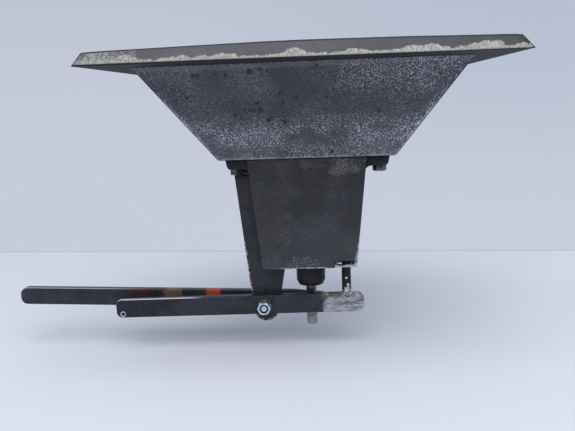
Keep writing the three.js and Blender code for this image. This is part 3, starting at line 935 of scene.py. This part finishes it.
def bow_lip(piece, profile):
    """Slices the strip across and brings the top of each slice to its height."""
    for at, _ in profile[1:-1]:
        slice_all((at, 0, 0), (1, 0, 0))
    mesh = bmesh.from_edit_mesh(piece.data)
    tops = sorted({round(v.co.x / MM, 1) for v in mesh.verts if v.co.z > (LIP - 0.01) * MM})
    for at in tops:
        pick("VERT", lambda p, n: p.z > LIP - 0.01 and abs(p.x - at) < 0.1)
        nudge(z=height_at(profile, at) - LIP)


def round_fold(out, half):
    """Lets the lower outer corners stand out and rounds the fold under the lip."""
    for side in (-1, 1):
        pick("VERT", lambda p, n: p.z < 0.1 and p.y < -out + 0.1 and p.x * side > half - 0.1)
        nudge(x=side * HEM)
    pick("EDGE", lambda p, d: p.z < 0.1 and p.y < -out + 0.1 and abs(d.x) > 0.9)
    bpy.ops.mesh.bevel(offset=1.4 * MM, segments=3)


# %% Rim strip
def rim_strip(name, half, out, straight, profile, turn):
    """A strip along X with its lip at -Y, then turned to its side of the pan."""
    piece = block(name, (-half, -out, 0), (half, -out + RIM_DEPTH, SHEET))
    edit(piece)
    pick("VERT", lambda p, n: p.y > -out + 1)
    bpy.ops.transform.resize(value=(1 - RIM_DEPTH / half, 1, 1), center_override=(0, 0, 0))
    if straight:
        pick("FACE", lambda p, n: n.y > 0.9)
        bpy.ops.mesh.extrude_region_move(TRANSFORM_OT_translate={"value": (0, straight * MM, 0)})
    raise_lip(out)
    bow_lip(piece, profile)
    round_fold(out, half)
    turn_to_side(turn)
    soften(piece, 0.6)
    return piece


# %% Rim
LONG_LIP = [
    (-175.5, 9.4), (-173.6, 11.0), (-163, 11.5), (-140, 12.0), (-115, 12.4), (-90, 12.9),
    (-60, 13.4), (-30, 13.9), (0, 14.1), (30, 13.9), (60, 13.6), (90, 13.3), (115, 12.7),
    (140, 12.2), (158, 11.9), (168, 11.6), (173, 10.9), (175.5, 8.4),
]  # fmt: skip
SHORT_LIP = [
    (-142.5, 8.4), (-137, 9.0), (-128, 9.8), (-110, 11.6), (0, 13.4),
    (110, 11.6), (128, 9.8), (137, 9.0), (142.5, 8.4),
]  # fmt: skip
for name, half, out, straight, profile, turn in (
    ("rim_front", RIM_X, RIM_Y, RIM_LONG_DEPTH - RIM_DEPTH, LONG_LIP, 0),
    ("rim_right", RIM_Y, RIM_X, 0, SHORT_LIP, 90),
    ("rim_rear", RIM_X, RIM_Y, RIM_LONG_DEPTH - RIM_DEPTH, LONG_LIP, 180),
    ("rim_left", RIM_Y, RIM_X, 0, SHORT_LIP, 270),
):
    strip = rim_strip("visual_" + name, half, out, straight, profile, turn)
    place(strip, "frame", "mill_scale_steel", lip_steel if name == "rim_front" else pan_steel, name)

# %% [markdown]
# ## The pan
# Each wall is a sloping sheet with a short upright edge inside the rim.  A cube makes the upright
# edge, and its underside is extruded down to the throat and pulled in.  The walls meet in mitres.


# %% Pan walls
PULL_X, PULL_Y = 60.7, 67.5  # how far the walls come in on the way down


def pan_wall(name, half, out, pull_along, pull_in, turn):
    """A wall along X at -Y, then turned to its side of the pan."""
    piece = block(name, (-half, -out, 0), (half, -out + SHEET, SHEET))
    edit(piece)
    for side in (-1, 1):
        pick("VERT", lambda p, n: p.y > -out + 1 and p.x * side > 0)
        nudge(x=-side * SHEET)
    pick("FACE", lambda p, n: n.z < -0.9)
    bpy.ops.mesh.extrude_region_move(
        TRANSFORM_OT_translate={"value": (0, pull_in * MM, -PAN_DEPTH * MM)}
    )
    for side in (-1, 1):
        pick("VERT", lambda p, n: p.z < 1 - PAN_DEPTH and p.x * side > 0)
        nudge(x=-side * pull_along)
    turn_to_side(turn)
    soften(piece, 0.7)
    return piece


for name, half, out, pull_along, pull_in, turn in (
    ("hopper_front", PAN_X, PAN_Y, PULL_X, PULL_Y, 0),
    ("hopper_right", PAN_Y, PAN_X, PULL_Y, PULL_X, 90),
    ("hopper_rear", PAN_X, PAN_Y, PULL_X, PULL_Y, 180),
    ("hopper_left", PAN_Y, PAN_X, PULL_Y, PULL_X, 270),
):
    wall = pan_wall("visual_" + name, half, out, pull_along, pull_in, turn)
    place(wall, "frame", "mill_scale_steel", pan_steel, name)

# %% [markdown]
# ## The feed box
# The front plate is the face that is seen most, so it is made from a cube with its lower corners
# pulled in, one lower corner rounded and a notch cut.  The plates behind it only need soft edges,
# so they are copies of the CAD solids with their triangles merged and their edges bevelled.

# %% Feed box
BOX_TOP, BOX_FOOT, BOX_WIDE, BOX_NARROW = -88, -198, 58.3, 46.7
front = block("visual_box_front", (-BOX_WIDE, -30, BOX_FOOT), (BOX_WIDE, -27, BOX_TOP))
edit(front)
pick("VERT", lambda p, n: p.z < -190)
bpy.ops.transform.resize(value=(BOX_NARROW / BOX_WIDE, 1, 1), center_override=(0, 0, 0))
pick("EDGE", lambda p, d: p.z < -190 and p.x < -40 and abs(d.y) > 0.9)
bpy.ops.mesh.bevel(offset=4 * MM, segments=5)
bpy.ops.object.mode_set(mode="OBJECT")
cut(front, block("notch", (25, -40, -203), (70, 0, -191.2)))
soften(front, 0.5)
place(front, "frame", "dark_steel", box_steel, "box_front")

# %% Plates behind the front
for node, finish, slot in (
    ("throat_plate", flange_steel, "dark_steel"),
    ("seat_ring", ground_steel, "ground_steel"),
    ("box_flange", flange_steel, "dark_steel"),
    ("box_rear", box_steel, "dark_steel"),
    ("box_left", box_steel, "dark_steel"),
    ("box_right", side_steel, "dark_steel"),
    ("box_floor", floor_steel, "ground_steel"),
    ("outlet_chute", box_steel, "dark_steel"),
    ("pivot_bracket", bracket_steel, "dark_steel"),
):
    plate = traced(node, "visual_" + node)
    soften(plate, 0.35)
    place(plate, "frame", slot, finish, node)

# %% [markdown]
# ## Guide and valve
# The guide boss is turned: a cylinder with a slight taper and a chamfered nose, bored for the stem.
# The stem is plain round bar with its end chamfered.  The plug is a cone that lies in the seat.

# %% Guide boss
GUIDE_R, GUIDE_TAPER_R, GUIDE_NOSE_R, STEM_R = 15, 14.8, 12.4, 5.3


def shrink_round(share):
    """Brings what is picked nearer to the Z axis."""
    bpy.ops.transform.resize(value=(share, share, 1), center_override=(0, 0, 0))


guide = bar_between("visual_stem_guide", (0, 0, -220.7), (0, 0, -198), GUIDE_R, 64)
edit(guide)
slice_all((0, 0, -216), (0, 0, 1))
pick("VERT", lambda p, n: abs(p.z + 216) < 0.1)
shrink_round(GUIDE_TAPER_R / GUIDE_R)
pick("VERT", lambda p, n: p.z < -220)
shrink_round(GUIDE_NOSE_R / GUIDE_R)
bpy.ops.object.mode_set(mode="OBJECT")
cut(guide, bar_between("bore", (0, 0, -225), (0, 0, -190), 5.5))
soften(guide, 0.5, angle=20)
place(guide, "frame", "dark_steel", boss_steel, "stem_guide")

# %% Valve stem and plug
stem = bar_between("visual_valve_stem", (0, 0, -263.5), (0, 0, -60), STEM_R, 48)
edit(stem)
pick("EDGE", lambda p, d: abs(d.z) < 0.1 and (p.z < -263 or p.z > -60.5))
bpy.ops.mesh.bevel(offset=1.2 * MM, segments=2)
bpy.ops.object.mode_set(mode="OBJECT")
smooth(stem)
place(stem, "valve", "ground_steel", stem_steel, "valve_stem")

PLUG_R, PLUG_TIP_R = 30.1, 21.1
plug = bar_between("visual_valve_plug", (0, 0, -84), (0, 0, -72), PLUG_R, 72)
edit(plug)
slice_all((0, 0, -75), (0, 0, 1))
pick("VERT", lambda p, n: p.z < -83)
shrink_round(PLUG_TIP_R / PLUG_R)
bpy.ops.object.mode_set(mode="OBJECT")
cut(plug, bar_between("bore", (0, 0, -90), (0, 0, -60), STEM_R))
soften(plug, 0.5, angle=20)
place(plug, "valve", "ground_steel", ground_steel, "valve_plug")

# %% [markdown]
# ## Levers
# Both levers are flat bar, 9 mm thick.  A cube gives the bar, its corner edges are bevelled round,
# and it is tilted about the pivot before the holes are drilled through it.


# %% Levers
BAR = 9  # thickness of both levers


def flat_bar(name, left, right, height, front_y, round_left, round_right, tilt, taper=0):
    """A bar tilted about the pivot, its corners rounded; taper lowers its right end's top."""
    low, high = PIVOT.z - height / 2, PIVOT.z + height / 2
    piece = block(name, (left, front_y, low), (right, front_y + BAR, high))
    edit(piece)
    if taper:
        slice_all((-20, 0, 0), (1, 0, 0))
        pick("VERT", lambda p, n: p.x > right - 1 and p.z > PIVOT.z)
        nudge(z=-taper)
    pick("EDGE", lambda p, d: abs(d.y) > 0.9 and p.x < left + 1)
    bpy.ops.mesh.bevel(offset=round_left * MM, segments=7)
    pick("EDGE", lambda p, d: abs(d.y) > 0.9 and p.x > right - 1)
    bpy.ops.mesh.bevel(offset=round_right * MM, segments=6)
    bpy.ops.mesh.select_all(action="SELECT")
    bpy.ops.transform.rotate(value=radians(tilt), orient_axis="Y", center_override=PIVOT * MM)
    bpy.ops.object.mode_set(mode="OBJECT")
    cut(piece, bar_between("pivot_hole", (PIVOT.x, -40, PIVOT.z), (PIVOT.x, 40, PIVOT.z), 4.3))
    return piece


# %% Long lever, slotted for the stem's pin
PIN_Z = -240.4
long_lever = flat_bar(
    "visual_long_lever", -314, 14, 17.8, front_y=6, round_left=7, round_right=3, tilt=-1.79, taper=2.4
)
cut(long_lever, block("slot", (-5.6, 0, PIN_Z - 3.1), (5.6, 40, PIN_Z + 3.1)))
soften(long_lever, 0.7, 3)
place(long_lever, "long_lever", "dark_steel", long_steel, "long_lever")

# %% Short lever, with an eye at its left end
EYE_X, EYE_Z = -196.2, -245.8
short_lever = flat_bar(
    "visual_short_lever", -203.2, 54, 19.3, front_y=-16, round_left=6, round_right=7.5, tilt=0.6
)
cut(short_lever, bar_between("eye", (EYE_X, -40, EYE_Z), (EYE_X, 40, EYE_Z), 1.7, 24))
soften(short_lever, 0.7, 3)
place(short_lever, "short_lever", "dark_steel", short_steel, "short_lever")
heights = [vertex.co.z / MM for vertex in short_lever.data.vertices]
print("short lever spans z", round(min(heights), 1), "to", round(max(heights), 1), "mm")

# %% [markdown]
# ## Push rod
# The rod stands on the short lever's top edge and runs up into the box.  It is round bar with its
# top edge bevelled.  It carries a small paddle that keeps the grain moving, and the paddle is a
# copy of the CAD solid with soft edges.

# %% Push rod and paddle
ROD_X, ROD_Y = 36.3, -12
rod = bar_between("visual_push_rod", (ROD_X, ROD_Y, -227.9), (ROD_X, ROD_Y, -148), 4.65, 40)
edit(rod)
pick("EDGE", lambda p, d: abs(d.z) < 0.1 and p.z > -148.5)
bpy.ops.mesh.bevel(offset=1.4 * MM, segments=3)
bpy.ops.object.mode_set(mode="OBJECT")
smooth(rod)
place(rod, "short_lever", "dark_steel", rod_steel, "push_rod")

paddle = traced("agitator_paddle", "visual_agitator_paddle")
soften(paddle, 0.4)
place(paddle, "short_lever", "dark_steel", bracket_steel, "agitator_paddle")

# %% [markdown]
# ## Bolts, nuts and washers
# A hexagon nut is a six-sided cylinder.  Its corners are turned off by a chamfer that runs round,
# so the hexagon is intersected with a bevelled cylinder.  The thread on the bolt's end is a few
# grooves, made by extruding the end and shrinking every other ring.

# %% Hexagon hardware
HEX_CORNER = 6 / cos(radians(30))  # from the middle of a 12 mm hexagon to its corner
THREAD_HOLE = 4.1  # radius of a nut's or washer's hole on an 8 mm bolt


def hexagon(name, start, end, turn, hole=None):
    """A 12 mm hexagon between two points, its corners turned off at both ends."""
    piece = bar_between(name, start, end, HEX_CORNER, 6)
    start, end = Vector(start), Vector(end)
    axis = (end - start).normalized()
    edit(piece)
    bpy.ops.mesh.select_all(action="SELECT")
    bpy.ops.transform.rotate(
        value=turn + pi / 2,
        orient_axis="Z" if abs(axis.z) > 0.5 else "Y",
        center_override=(start + end) / 2 * MM,
    )
    bpy.ops.object.mode_set(mode="OBJECT")
    turned = bar_between("turned", start, end, HEX_CORNER + 0.05, 64)
    edit(turned)
    pick("EDGE", lambda p, d: abs(d.dot(axis)) < 0.1)
    bpy.ops.mesh.bevel(offset=0.85 * MM, segments=1)
    bpy.ops.object.mode_set(mode="OBJECT")
    keep_common(piece, turned)
    if hole:
        cut(piece, bar_between("hole", start - axis * 9, end + axis * 9, hole, 40))
    soften(piece, 0.18, 2, 25)
    return piece


# %% Thread and washer
def with_thread(piece, axis, tip, turns, pitch=1.25, depth=0.93):
    """Grooves a round end: the face at the tip is extruded out and every other ring shrunk."""
    edit(piece)
    axis = Vector(axis)
    pick("FACE", lambda p, n: n.dot(axis) > 0.9 and abs((p - Vector(tip)).dot(axis)) < 0.1)
    centre = Vector(tip)
    for turn in range(2 * turns):
        centre = centre + axis * pitch / 2
        bpy.ops.mesh.extrude_region_move(
            TRANSFORM_OT_translate={"value": tuple(axis * pitch / 2 * MM)}
        )
        share = depth if turn % 2 == 0 else 1 / depth
        bpy.ops.transform.resize(value=(share, share, share), center_override=centre * MM)
    bpy.ops.mesh.bevel(offset=0.4 * MM, segments=1)
    bpy.ops.object.mode_set(mode="OBJECT")
    smooth(piece, 30)


def washer(name, y_front, y_back, radius, hole, x=PIVOT.x, z=PIVOT.z):
    """A ring along Y, on the pivot's axis unless told otherwise."""
    piece = bar_between(name, (x, y_front, z), (x, y_back, z), radius, 56)
    cut(piece, bar_between("hole", (x, -60, z), (x, 60, z), hole, 40))
    soften(piece, 0.25)
    return piece


# %% Pivot hardware
px, pz = PIVOT.x, PIVOT.z
nut = hexagon("visual_pivot_nut", (px, -24.4, pz), (px, -17.9, pz), 0.35, THREAD_HOLE)
place(nut, "frame", "zinc_steel", mid_zinc, "pivot_nut")
lock = hexagon("visual_lock_nut", (px, -30.9, pz), (px, -24.5, pz), 0.05, THREAD_HOLE)
cut(lock, bar_between("mouth", (px, -35, pz), (px, -28.6, pz), 4.5, 40))
place(lock, "frame", "zinc_steel", lock_zinc, "lock_nut")
bolt = bar_between("visual_pivot_bolt", (px, -29, pz), (px, 17.9, pz), 3.3, 40)
with_thread(bolt, (0, -1, 0), (px, -29, pz), turns=1, depth=0.86)
place(bolt, "frame", "zinc_steel", zinc, "pivot_bolt")
head = hexagon("visual_pivot_head", (px, 16.9, pz), (px, 22.2, pz), 0.2)
place(head, "frame", "zinc_steel", zinc)
for node, y_front, y_back, radius in (
    ("front_washer", -17.9, -16.3, 7.5),
    ("rear_washer", 15.3, 16.9, 8.5),
    ("front_spacer", -6.7, -3, 6.5),
    ("rear_spacer", 3, 5.7, 6.5),
):
    ring = washer("visual_" + node, y_front, y_back, radius, THREAD_HOLE)
    place(ring, "frame", "zinc_steel", dark_zinc, node)

# %% Ear bolts
EAR_X = 72.3
for side, name, turn in ((-1, "left", pi / 6), (1, "right", 0.0)):
    ear_x = side * EAR_X
    shank = bar_between(f"visual_ear_bolt_{name}", (ear_x, 0, -104), (ear_x, 0, -77.5), 4, 32)
    with_thread(shank, (0, 0, 1), (ear_x, 0, -77.5), turns=2)
    place(shank, "frame", "zinc_steel", zinc, f"ear_bolt_{name}")
    head = hexagon(f"visual_ear_head_{name}", (ear_x, 0, -105.2), (ear_x, 0, -99), turn)
    place(head, "frame", "zinc_steel", shaded_zinc)
    nut = hexagon(f"visual_ear_nut_{name}", (ear_x, 0, -84.5), (ear_x, 0, -78), 0.2, THREAD_HOLE)
    place(nut, "frame", "zinc_steel", zinc, f"ear_nut_{name}")

# %% Valve hardware
nut = hexagon("visual_plug_nut", (0, 0, -72), (0, 0, -65.5), 0.2, 5.35)
place(nut, "valve", "zinc_steel", zinc, "plug_nut")
pin = bar_between("visual_stem_pin", (0, -5.1, PIN_Z), (0, 19, PIN_Z), 2.5, 32)
soften(pin, 0.4)
place(pin, "valve", "zinc_steel", zinc, "stem_pin")
ring = washer("visual_stem_pin_washer", 15.3, 16.8, 6, 2.52, x=0, z=PIN_Z)
place(ring, "valve", "zinc_steel", zinc, "stem_pin_washer")

# %% [markdown]
# ## Weld beads
# A weld bead is a row of overlapping drops.  One ball with an Array modifier gives the
# row, and a voxel remesh melts it into one skin.  Modelling each ripple by hand would look no
# better at this size.


# %% Welds
def bead(name, start, end, radius, pitch, voxel=0.35, finish=weld_metal):
    """A bead of drops from one point to another, on the frame."""
    start, end = Vector(start), Vector(end)
    along = end - start
    count = max(2, round(along.length / pitch))
    everything_off()
    bpy.ops.mesh.primitive_uv_sphere_add(
        segments=16, ring_count=10, radius=radius * MM, location=start * MM
    )
    bpy.ops.object.transform_apply(location=True)
    piece = bpy.context.object
    piece.name = name
    modify(
        piece,
        "ARRAY",
        count=count,
        use_relative_offset=False,
        use_constant_offset=True,
        constant_offset_displace=along / (count - 1) * MM,
    )
    modify(piece, "REMESH", mode="VOXEL", voxel_size=voxel * MM, use_smooth_shade=True)
    return place(piece, "frame", "dark_steel", finish)


for name, y in (("front", -99.6), ("rear", 99.6)):
    bead(f"rim_bead_{name}", (-144, y, -0.2), (144, y, -0.2), 1.2, 1.7, 0.4)
for name, x in (("left", -146.6), ("right", 146.6)):
    bead(f"rim_bead_{name}", (x, -97, -0.2), (x, 97, -0.2), 1.2, 1.7, 0.4)
for name, y in (("front", -3.4), ("rear", 3.4)):
    bead(f"bracket_bead_{name}", (-57.4, y, -109), (-47.4, y, -197), 1.8, 2.2)
    bead(f"bracket_floor_bead_{name}", (-45, y, -198.6), (-28, y, -198.6), 1.6, 2.2)
bead("bracket_top_bead", (-66.4, 0.5, -103), (-59.5, 0.5, -103.6), 3.6, 1.6, finish=flange_steel)


# %% Bead round the guide
def ring_of_metal(name, centre, turn, big, small, sides_round, sides_across):
    everything_off()
    bpy.ops.mesh.primitive_torus_add(
        location=Vector(centre) * MM,
        rotation=turn,
        major_radius=big * MM,
        minor_radius=small * MM,
        major_segments=sides_round,
        minor_segments=sides_across,
    )
    bpy.ops.object.transform_apply(location=True, rotation=True)
    ring = bpy.context.object
    ring.name = name
    bpy.ops.object.shade_smooth()
    return ring


bead_ring = ring_of_metal("guide_bead", (0, 0, -198.8), (0, 0, 0), 15.2, 1.5, 90, 12)
place(bead_ring, "frame", "dark_steel", weld_metal)

# %% [markdown]
# The rod is welded to the lever by a lumpy fillet.  A few balls are joined, melted together by the
# same remesh, and the result is one blob that wraps the foot of the rod.

# %% Rod weld
BLOB = [
    (36.3, -12.0, -226.8, 5.3), (33.6, -14.4, -227.9, 2.9), (36.0, -15.4, -227.2, 3.5),
    (39.8, -13.4, -228.0, 2.9), (42.0, -12.2, -228.9, 2.1), (32.4, -11.4, -228.4, 2.3),
    (37.2, -15.2, -222.6, 2.5), (36.2, -15.4, -224.8, 2.9), (36.5, -9.0, -227.6, 3.0),
    (37.8, -15.3, -220.2, 1.7),
]  # fmt: skip


def drop_at(x, y, z, radius):
    everything_off()
    bpy.ops.mesh.primitive_ico_sphere_add(
        subdivisions=3, radius=radius * MM, location=(x * MM, y * MM, z * MM)
    )
    return bpy.context.object


drops = [drop_at(*ball) for ball in BLOB]
everything_off()
for drop in drops:
    drop.select_set(True)
bpy.context.view_layer.objects.active = drops[0]
bpy.ops.object.join()
blob = bpy.context.object
bpy.ops.object.transform_apply(location=True)
blob.name = "rod_weld"
modify(blob, "REMESH", mode="VOXEL", voxel_size=0.4 * MM, use_smooth_shade=True)
modify(blob, "SMOOTH", factor=0.5, iterations=3)
place(blob, "short_lever", "dark_steel", blob_metal)

# %% [markdown]
# Three drops of spatter froze on the rod, and the drill raised a bright burr round the lever's eye.

# %% Spatter and burr
SPATTER = [(36.2, -16.3, -211.6, 1.5), (37.6, -16.2, -218.6, 1.7), (34.8, -16.2, -222.4, 1.2)]
for number, ball in enumerate(SPATTER, 1):
    drop = drop_at(*ball)
    bpy.ops.object.transform_apply(location=True)
    drop.name = f"spatter_{number}"
    bpy.ops.object.shade_smooth()
    place(drop, "short_lever", "dark_steel", zinc)

burr = ring_of_metal("eye_burr", (EYE_X, -16, EYE_Z), (pi / 2, 0, 0), 2.4, 0.7, 40, 10)
place(burr, "short_lever", "dark_steel", zinc)

# %% [markdown]
# ## Floor and light
# A plain pale floor ends some way behind the object, and a pale sky stands for the wall behind it.
# One large soft lamp above the front gives the faint shadow.

# %% Floor
FLOOR_Z, NEAR_EDGE = -0.289, -1.2
FAR_EDGE, FAR_SLOPE = 0.465, -0.095  # the far edge's Y at X = 0, and how it turns
everything_off()
bpy.ops.mesh.primitive_plane_add(size=1)
floor = bpy.context.object
floor.name = "floor"
edit(floor)
bpy.ops.mesh.select_all(action="SELECT")
bpy.ops.transform.resize(value=(5, 1, 1))
bpy.ops.object.mode_set(mode="OBJECT")
for vertex in floor.data.vertices:
    far_edge = FAR_EDGE + FAR_SLOPE * vertex.co.x
    vertex.co.y = far_edge if vertex.co.y > 0 else NEAR_EDGE
    vertex.co.z = FLOOR_Z
paper, tree, shader = new_finish("paper")
here = place_of(tree)
tone = mix(tree, noise(tree, here, 9, 2), grey(222, 224, 231), grey(227, 229, 234))
x, y, _ = axes(tree, here)
to_edge = minus(tree, plus(tree, FAR_EDGE, times(tree, x, FAR_SLOPE)), y)
# Painted shade: a darker band along the far edge, where the paper folds up.
tone = mix(tree, fades(tree, to_edge, 11, 4, 0.8), tone, grey(196, 199, 208))
tree.links.new(tone, shader.inputs["Base Color"])
shader.inputs["Roughness"].default_value = 0.85
floor.data.materials.append(paper)
print("floor at", round(FLOOR_Z / MM), "mm")

# %% [markdown]
# The sky is coloured by direction, not by a picture: two pale tones behind the object, and a
# lighter ceiling over a darker ground for all that is behind the camera, which the steel reflects.

# %% Sky
world = bpy.data.worlds.new("pale_wall")
scene.world = world
world.use_nodes = True
tree = world.node_tree
sky = tree.nodes["Background"]
x, y, z = axes(tree, add(tree, "TexCoord").outputs["Generated"])
side = step(tree, x, -0.35, 0.3)
right_wall = mix(tree, step(tree, z, -0.2, 0.12), grey(199, 205, 221), grey(184, 194, 210))
wall = mix(tree, side, grey(199, 204, 220), right_wall)
wall = mix(tree, step(tree, z, -0.1, 0.35), wall, grey(182, 190, 206))
room = mix(tree, step(tree, z, -0.15, 0.55), grey(84, 88, 98), grey(236, 241, 252))
tree.links.new(mix(tree, step(tree, y, 0.05, -0.35), wall, room), sky.inputs["Color"])
sky.inputs["Strength"].default_value = 1.0
print("sky has", len(tree.nodes), "nodes")

# %% Lamp
everything_off()
bpy.ops.object.light_add(type="AREA", location=(0.1, -1.15, 1.3))
lamp = bpy.context.object
lamp.name = "soft_lamp"
lamp.data.shape = "DISK"
lamp.data.size = 1.8
lamp.data.energy = 22
lamp.rotation_euler = (Vector((0, 0, -0.12)) - lamp.location).to_track_quat("-Z", "Y").to_euler()
print("lamp of", lamp.data.energy, "watts")
